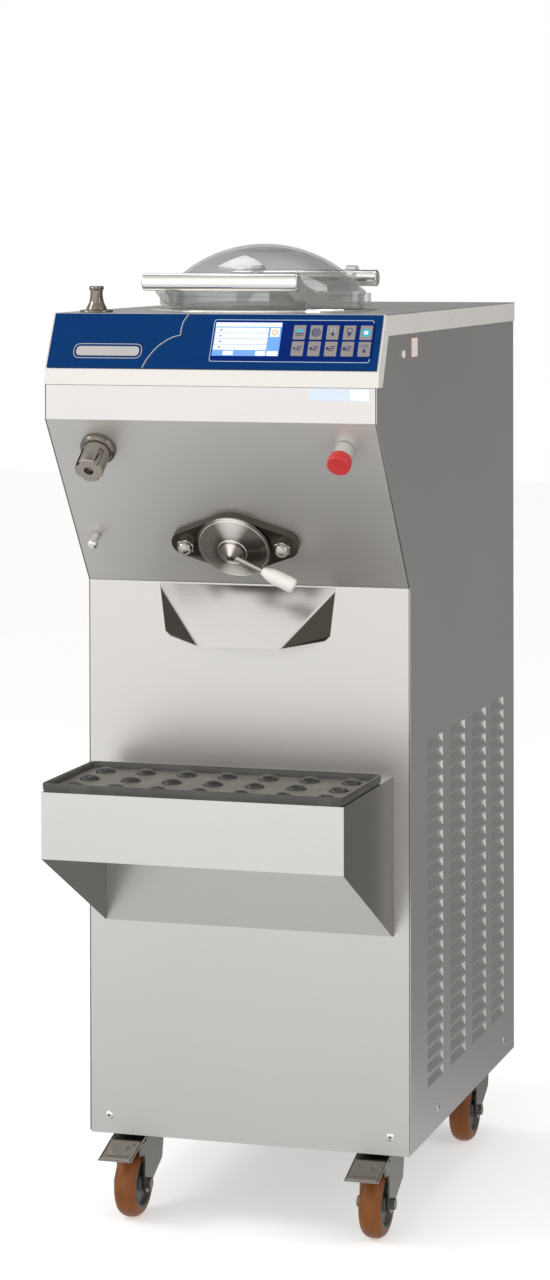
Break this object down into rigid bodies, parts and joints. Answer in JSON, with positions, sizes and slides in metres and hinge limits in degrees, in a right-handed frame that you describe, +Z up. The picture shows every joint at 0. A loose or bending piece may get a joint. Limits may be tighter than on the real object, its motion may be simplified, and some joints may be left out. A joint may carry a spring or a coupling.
{
  "type": "ice cream maker",
  "caption": "Floor-standing ice cream maker: stainless casing with slanted head, clear hinged lid over an upright cylinder, lever outlet, shelf with mat, and castors.",
  "frame": {"origin": "on the floor, under the middle of the machine's width and length", "axes": "+Z up; the operator stands at -Y, facing +Y; +X is the operator's right"},
  "size_m": [0.4936, 0.934, 1.44],
  "materials": {
    "casing_steel": "satin stainless sheet, brushed level",
    "cover_steel": "bright stainless sheet, finely brushed",
    "shelf_steel": "satin stainless sheet",
    "fascia_blue": "smooth dark blue, half gloss",
    "screen": "lit colour panel behind a clear front",
    "keys": "flat printed membrane",
    "stop_red": "moulded red, half gloss",
    "polished_steel": "turned and polished stainless steel",
    "knob_steel": "turned stainless steel, satin",
    "collar_dark": "darker turned steel",
    "grip_white": "moulded off-white, half gloss",
    "lid_clear": "clear moulded plastic, polished",
    "mat_rubber": "black rubber, matt",
    "tread_amber": "amber polyurethane tread on a dark hub",
    "castor_steel": "pressed and plated steel",
    "frame_steel": "folded plate, mill finish",
    "dasher_steel": "satin stainless steel",
    "blade_white": "white food-grade plastic",
    "seal_black": "black rubber",
    "motor_grey": "grey casting",
    "compressor_black": "black paint, half gloss",
    "condenser_fins": "fine fins, taken together",
    "fan_black": "black moulded"
  },
  "bodies": {
    "machine": {"base_tray": "frame_steel", "castor_plate_front_left": "castor_steel", "castor_plate_front_right": "castor_steel", "castor_plate_rear_left": "castor_steel", "castor_plate_rear_right": "castor_steel", "compressor": "compressor_black", "condenser": "condenser_fins", "control_fascia": "fascia_blue", "cylinder_rim": "polished_steel", "deck": "frame_steel", "deflector_chute": "shelf_steel", "display": "screen", "dome_nut_left": "polished_steel", "dome_nut_right": "polished_steel", "drip_mat": "mat_rubber", "fan_shroud": "fan_black", "freezing_cylinder": "polished_steel", "front_panel": "casing_steel", "gear_motor": "motor_grey", "head_panel": "casing_steel", "hinge_bar": "polished_steel", "hook_stud": "polished_steel", "hose_post": "polished_steel", "keypad": "keys", "left_panel": "casing_steel", "outlet_flange": "polished_steel", "post_front_left": "frame_steel", "post_front_right": "frame_steel", "post_rear_left": "frame_steel", "post_rear_right": "frame_steel", "rear_panel": "casing_steel", "right_panel": "casing_steel", "shaft_seal": "seal_black", "shelf": "shelf_steel", "stop_body": "polished_steel", "top_cover": "cover_steel", "valve_collar": "collar_dark"},
    "lid": {"lid_dome": "lid_clear", "lid_handle": "polished_steel"},
    "stop_button": {"stop_button": "stop_red"},
    "valve_knob": {"valve_knob": "knob_steel"},
    "outlet_gate": {"outlet_disc": "polished_steel"},
    "outlet_lever": {"outlet_hub": "polished_steel", "lever_rod": "polished_steel", "lever_grip": "grip_white"},
    "dasher": {"dasher": "dasher_steel", "scraper_blade_left": "blade_white", "scraper_blade_right": "blade_white", "drive_shaft": "polished_steel"},
    "fan": {"condenser_fan": "fan_black"},
    "fork_front_left": {"castor_fork_front_left": "castor_steel"},
    "wheel_front_left": {"castor_wheel_front_left": "tread_amber"},
    "fork_front_right": {"castor_fork_front_right": "castor_steel"},
    "wheel_front_right": {"castor_wheel_front_right": "tread_amber"},
    "fork_rear_left": {"castor_fork_rear_left": "castor_steel"},
    "wheel_rear_left": {"castor_wheel_rear_left": "tread_amber"},
    "fork_rear_right": {"castor_fork_rear_right": "castor_steel"},
    "wheel_rear_right": {"castor_wheel_rear_right": "tread_amber"},
    "pedal_left": {"brake_pedal_front_left": "castor_steel"},
    "pedal_right": {"brake_pedal_front_right": "castor_steel"}
  },
  "joints": [
    {"name": "lid_hinge", "type": "hinge", "parent": "machine", "child": "lid", "pos_m": [0, 0.102, 1.3865], "axis": [-1, 0, 0], "range_deg": [0, 95]},
    {"name": "stop_press", "type": "slide", "parent": "machine", "child": "stop_button", "axis": [0, 0.8055, 0.5926], "range_m": [0, 0.004], "stiffness_N_per_m": 900, "springref_m": -0.002},
    {"name": "valve_turn", "type": "hinge", "parent": "machine", "child": "valve_knob", "pos_m": [-0.1745, -0.35048, 1.15052], "axis": [0, -0.8055, -0.5926], "range_deg": [0, 90]},
    {"name": "outlet_slide", "type": "slide", "parent": "machine", "child": "outlet_gate", "axis": [0, -0.8055, -0.5926], "range_m": [0, 0.018]},
    {"name": "outlet_turn", "type": "hinge", "parent": "outlet_gate", "child": "outlet_lever", "pos_m": [0, -0.25003, 1.01399], "axis": [0, -0.8055, -0.5926], "range_deg": [0, 60]},
    {"name": "dasher_turn", "type": "hinge", "parent": "machine", "child": "dasher", "pos_m": [0, -0.11, 1.05], "axis": [0, 0, 1], "continuous": true},
    {"name": "fan_turn", "type": "hinge", "parent": "machine", "child": "fan", "pos_m": [0, 0.3554, 0.3033], "axis": [0, 1, 0], "continuous": true},
    {"name": "swivel_front_left", "type": "hinge", "parent": "machine", "child": "fork_front_left", "pos_m": [-0.1865, -0.137, 0.115], "axis": [0, 0, 1], "continuous": true},
    {"name": "roll_front_left", "type": "hinge", "parent": "fork_front_left", "child": "wheel_front_left", "pos_m": [-0.1865, -0.173, 0.05], "axis": [1, 0, 0], "continuous": true},
    {"name": "brake_left", "type": "hinge", "parent": "fork_front_left", "child": "pedal_left", "pos_m": [-0.1865, -0.195, 0.1114], "axis": [-1, 0, 0], "range_deg": [0, 12]},
    {"name": "swivel_front_right", "type": "hinge", "parent": "machine", "child": "fork_front_right", "pos_m": [0.1865, -0.137, 0.115], "axis": [0, 0, 1], "continuous": true},
    {"name": "roll_front_right", "type": "hinge", "parent": "fork_front_right", "child": "wheel_front_right", "pos_m": [0.1865, -0.173, 0.05], "axis": [1, 0, 0], "continuous": true},
    {"name": "brake_right", "type": "hinge", "parent": "fork_front_right", "child": "pedal_right", "pos_m": [0.1865, -0.195, 0.1114], "axis": [-1, 0, 0], "range_deg": [0, 12]},
    {"name": "swivel_rear_left", "type": "hinge", "parent": "machine", "child": "fork_rear_left", "pos_m": [-0.1865, 0.404, 0.115], "axis": [0, 0, 1], "continuous": true},
    {"name": "roll_rear_left", "type": "hinge", "parent": "fork_rear_left", "child": "wheel_rear_left", "pos_m": [-0.1865, 0.368, 0.05], "axis": [1, 0, 0], "continuous": true},
    {"name": "swivel_rear_right", "type": "hinge", "parent": "machine", "child": "fork_rear_right", "pos_m": [0.1865, 0.404, 0.115], "axis": [0, 0, 1], "continuous": true},
    {"name": "roll_rear_right", "type": "hinge", "parent": "fork_rear_right", "child": "wheel_rear_right", "pos_m": [0.1865, 0.368, 0.05], "axis": [1, 0, 0], "continuous": true}
  ],
  "couplings": [
    {"joint": "outlet_slide", "follows": "outlet_turn", "m_per_rad": 0.01718}
  ]
}
